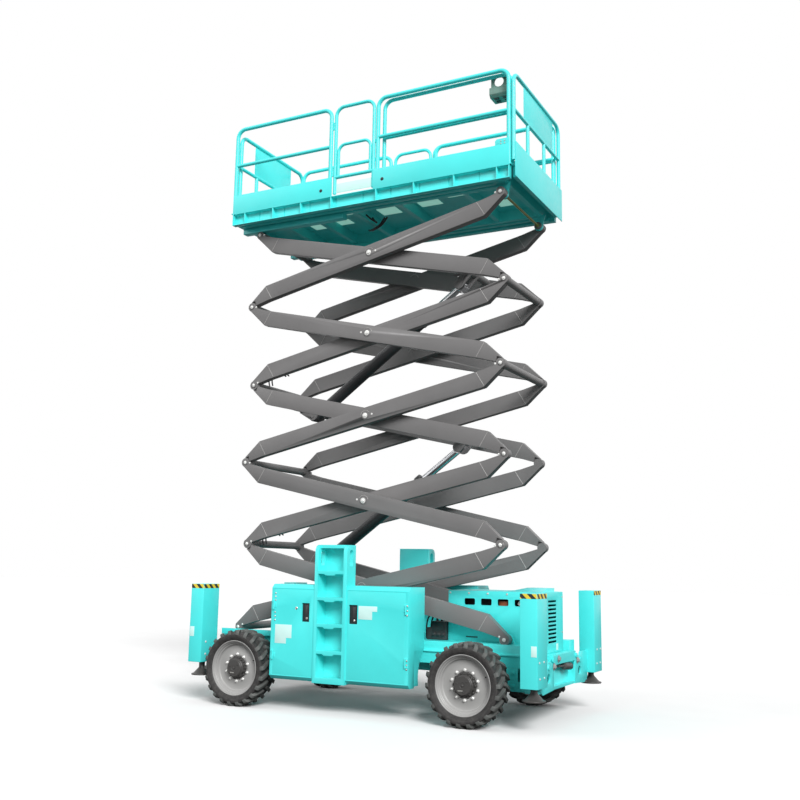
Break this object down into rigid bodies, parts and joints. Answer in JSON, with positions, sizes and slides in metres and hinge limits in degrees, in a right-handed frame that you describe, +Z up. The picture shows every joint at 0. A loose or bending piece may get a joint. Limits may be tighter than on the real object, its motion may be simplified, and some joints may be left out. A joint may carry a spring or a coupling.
{
  "type": "rough-terrain scissor lift",
  "caption": "Self-propelled scissor lift with a raised guard-railed work platform, side cabinets and outriggers on rubber tyres.",
  "frame": {"origin": "on the floor under the middle of the machine", "axes": "+X towards the engine end, -Y the near side, +Z up"},
  "size_m": [4.3609, 2.286, 7.0997],
  "materials": {
    "paint": "semi-gloss turquoise paint",
    "arm_paint": "satin grey paint",
    "black_paint": "satin black paint",
    "chrome_rod": "hard chrome",
    "tyre": "matt rubber",
    "rim_paint": "light grey paint",
    "control_grey": "matt grey-green"
  },
  "bodies": {
    "root": {"chassis": "paint", "near_cabinet": "paint", "far_cabinet": "paint", "ladders": "paint", "engine_cover": "paint", "engine_block": "black_paint", "outrigger_housings": "paint", "front_axle": "black_paint", "rear_axle": "black_paint"},
    "inner_arms_1": {"inner_arms_1": "arm_paint"},
    "outer_arms_1": {"outer_arms_1": "arm_paint"},
    "inner_arms_2": {"inner_arms_2": "arm_paint"},
    "outer_arms_2": {"outer_arms_2": "arm_paint"},
    "inner_arms_3": {"inner_arms_3": "arm_paint"},
    "outer_arms_3": {"outer_arms_3": "arm_paint"},
    "inner_arms_4": {"inner_arms_4": "arm_paint"},
    "outer_arms_4": {"outer_arms_4": "arm_paint"},
    "inner_arms_5": {"inner_arms_5": "arm_paint"},
    "outer_arms_5": {"outer_arms_5": "arm_paint"},
    "platform": {"platform_frame": "paint", "toe_boards": "paint", "platform_rails": "paint"},
    "lower_barrel": {"lower_cylinder_barrel": "black_paint"},
    "lower_rod": {"lower_cylinder_rod": "chrome_rod"},
    "upper_barrel": {"upper_cylinder_barrel": "black_paint"},
    "upper_rod": {"upper_cylinder_rod": "chrome_rod"},
    "near_knuckle": {"near_knuckle": "black_paint"},
    "front_near_wheel": {"front_near_tyre": "tyre", "front_near_rim": "rim_paint"},
    "far_knuckle": {"far_knuckle": "black_paint"},
    "front_far_wheel": {"front_far_tyre": "tyre", "front_far_rim": "rim_paint"},
    "rear_near_wheel": {"rear_near_tyre": "tyre", "rear_near_rim": "rim_paint"},
    "rear_far_wheel": {"rear_far_tyre": "tyre", "rear_far_rim": "rim_paint"},
    "tie_rod": {"tie_rod": "black_paint"},
    "front_near_jack": {"front_near_jack": "black_paint"},
    "front_far_jack": {"front_far_jack": "black_paint"},
    "rear_near_jack": {"rear_near_jack": "black_paint"},
    "rear_far_jack": {"rear_far_jack": "black_paint"},
    "near_left_door": {"near_left_door": "paint"},
    "near_right_door": {"near_right_door": "paint"},
    "far_left_door": {"far_left_door": "paint"},
    "far_right_door": {"far_right_door": "paint"},
    "extension": {"extension_deck": "paint", "extension_rails": "paint", "control_box": "control_grey"},
    "near_gate": {"near_gate": "paint"},
    "far_gate": {"far_gate": "paint"}
  },
  "joints": [
    {"name": "lift", "type": "hinge", "parent": "root", "child": "inner_arms_1", "pos_m": [1.605, 0, 0.847], "axis": [0, 1, 0], "range_deg": [-12.4, 31.65]},
    {"name": "centre_pins_1", "type": "hinge", "parent": "inner_arms_1", "child": "outer_arms_1", "pos_m": [-0.06176, 0, 1.33597], "axis": [0, 1, 0], "range_deg": [-64.3, 25.8]},
    {"name": "end_pins_2", "type": "hinge", "parent": "outer_arms_1", "child": "outer_arms_2", "pos_m": [1.605, 0, 1.82495], "axis": [0, 1, 0], "range_deg": [-25.8, 64.3]},
    {"name": "centre_pins_2", "type": "hinge", "parent": "outer_arms_2", "child": "inner_arms_2", "pos_m": [-0.06176, 0, 2.31392], "axis": [0, 1, 0], "range_deg": [-64.3, 25.8]},
    {"name": "end_pins_3", "type": "hinge", "parent": "inner_arms_2", "child": "inner_arms_3", "pos_m": [1.605, 0, 2.80289], "axis": [0, 1, 0], "range_deg": [-25.8, 64.3]},
    {"name": "centre_pins_3", "type": "hinge", "parent": "inner_arms_3", "child": "outer_arms_3", "pos_m": [-0.06176, 0, 3.29186], "axis": [0, 1, 0], "range_deg": [-64.3, 25.8]},
    {"name": "end_pins_4", "type": "hinge", "parent": "outer_arms_3", "child": "outer_arms_4", "pos_m": [1.605, 0, 3.78084], "axis": [0, 1, 0], "range_deg": [-25.8, 64.3]},
    {"name": "centre_pins_4", "type": "hinge", "parent": "outer_arms_4", "child": "inner_arms_4", "pos_m": [-0.06176, 0, 4.26981], "axis": [0, 1, 0], "range_deg": [-64.3, 25.8]},
    {"name": "end_pins_5", "type": "hinge", "parent": "inner_arms_4", "child": "inner_arms_5", "pos_m": [1.605, 0, 4.75878], "axis": [0, 1, 0], "range_deg": [-25.8, 64.3]},
    {"name": "centre_pins_5", "type": "hinge", "parent": "inner_arms_5", "child": "outer_arms_5", "pos_m": [-0.06176, 0, 5.24775], "axis": [0, 1, 0], "range_deg": [-64.3, 25.8]},
    {"name": "platform_pins", "type": "hinge", "parent": "outer_arms_5", "child": "platform", "pos_m": [1.605, 0, 5.73673], "axis": [0, 1, 0], "range_deg": [-13.4, 32.65]},
    {"name": "lower_cylinder_tilt", "type": "hinge", "parent": "inner_arms_1", "child": "lower_barrel", "pos_m": [-1.16185, 0, 1.47946], "axis": [0, 1, 0], "range_deg": [-67.47, 27.04]},
    {"name": "lower_cylinder_stroke", "type": "slide", "parent": "lower_barrel", "child": "lower_rod", "axis": [0.804, 0, 0.5946], "range_m": [-0.464, 1.17]},
    {"name": "upper_cylinder_tilt", "type": "hinge", "parent": "inner_arms_3", "child": "upper_barrel", "pos_m": [-1.16185, 0, 3.43535], "axis": [0, 1, 0], "range_deg": [-67.47, 27.04]},
    {"name": "upper_cylinder_stroke", "type": "slide", "parent": "upper_barrel", "child": "upper_rod", "axis": [0.804, 0, 0.5946], "range_m": [-0.464, 1.17]},
    {"name": "near_steering", "type": "hinge", "parent": "root", "child": "near_knuckle", "pos_m": [1.365, -0.77, 0.42], "axis": [0, 0, 1], "range_deg": [-25, 25]},
    {"name": "front_near_wheel_spin", "type": "hinge", "parent": "near_knuckle", "child": "front_near_wheel", "pos_m": [1.365, -0.993, 0.42], "axis": [0, 1, 0], "continuous": true},
    {"name": "far_steering", "type": "hinge", "parent": "root", "child": "far_knuckle", "pos_m": [1.365, 0.77, 0.42], "axis": [0, 0, 1], "range_deg": [-25, 25]},
    {"name": "front_far_wheel_spin", "type": "hinge", "parent": "far_knuckle", "child": "front_far_wheel", "pos_m": [1.365, 0.993, 0.42], "axis": [0, 1, 0], "continuous": true},
    {"name": "rear_near_wheel_spin", "type": "hinge", "parent": "root", "child": "rear_near_wheel", "pos_m": [-1.455, -0.993, 0.42], "axis": [0, 1, 0], "continuous": true},
    {"name": "rear_far_wheel_spin", "type": "hinge", "parent": "root", "child": "rear_far_wheel", "pos_m": [-1.455, 0.993, 0.42], "axis": [0, 1, 0], "continuous": true},
    {"name": "tie_rod_eye", "type": "hinge", "parent": "near_knuckle", "child": "tie_rod", "pos_m": [1.195, -0.77, 0.33], "axis": [0, 0, 1], "range_deg": [-26, 26]},
    {"name": "front_near_jack_stroke", "type": "slide", "parent": "root", "child": "front_near_jack", "axis": [0, 0, -1], "range_m": [0, 0.45]},
    {"name": "front_far_jack_stroke", "type": "slide", "parent": "root", "child": "front_far_jack", "axis": [0, 0, -1], "range_m": [0, 0.45]},
    {"name": "rear_near_jack_stroke", "type": "slide", "parent": "root", "child": "rear_near_jack", "axis": [0, 0, -1], "range_m": [0, 0.45]},
    {"name": "rear_far_jack_stroke", "type": "slide", "parent": "root", "child": "rear_far_jack", "axis": [0, 0, -1], "range_m": [0, 0.45]},
    {"name": "near_left_door_hinge", "type": "hinge", "parent": "root", "child": "near_left_door", "pos_m": [-0.949, -1.1093, 0.85], "axis": [0, 0, -1], "range_deg": [0, 100]},
    {"name": "near_right_door_hinge", "type": "hinge", "parent": "root", "child": "near_right_door", "pos_m": [0.71, -1.1093, 0.85], "axis": [0, 0, 1], "range_deg": [0, 100]},
    {"name": "far_left_door_hinge", "type": "hinge", "parent": "root", "child": "far_left_door", "pos_m": [-0.949, 1.1093, 0.85], "axis": [0, 0, 1], "range_deg": [0, 100]},
    {"name": "far_right_door_hinge", "type": "hinge", "parent": "root", "child": "far_right_door", "pos_m": [0.71, 1.1093, 0.85], "axis": [0, 0, -1], "range_deg": [0, 100]},
    {"name": "extension_slide", "type": "slide", "parent": "platform", "child": "extension", "axis": [1, 0, 0], "range_m": [0, 1.2]},
    {"name": "near_gate_hinge", "type": "hinge", "parent": "platform", "child": "near_gate", "pos_m": [-0.548, -0.78, 6.5], "axis": [0, 0, 1], "range_deg": [0, 90]},
    {"name": "far_gate_hinge", "type": "hinge", "parent": "platform", "child": "far_gate", "pos_m": [-0.548, 0.78, 6.5], "axis": [0, 0, -1], "range_deg": [0, 90]}
  ],
  "couplings": [
    {"joint": "centre_pins_1", "follows": "lift", "ratio": -2},
    {"joint": "end_pins_2", "follows": "lift", "ratio": 2},
    {"joint": "centre_pins_2", "follows": "lift", "ratio": -2},
    {"joint": "end_pins_3", "follows": "lift", "ratio": 2},
    {"joint": "centre_pins_3", "follows": "lift", "ratio": -2},
    {"joint": "end_pins_4", "follows": "lift", "ratio": 2},
    {"joint": "centre_pins_4", "follows": "lift", "ratio": -2},
    {"joint": "end_pins_5", "follows": "lift", "ratio": 2},
    {"joint": "centre_pins_5", "follows": "lift", "ratio": -2},
    {"joint": "platform_pins", "follows": "lift", "ratio": 1},
    {"joint": "lower_cylinder_tilt", "follows": "lift", "ratio": -2.1},
    {"joint": "lower_cylinder_stroke", "follows": "lift", "m_per_rad": 2.1},
    {"joint": "upper_cylinder_tilt", "follows": "lift", "ratio": -2.1},
    {"joint": "upper_cylinder_stroke", "follows": "lift", "m_per_rad": 2.1},
    {"joint": "far_steering", "follows": "near_steering", "ratio": 1},
    {"joint": "tie_rod_eye", "follows": "near_steering", "ratio": -1}
  ]
}
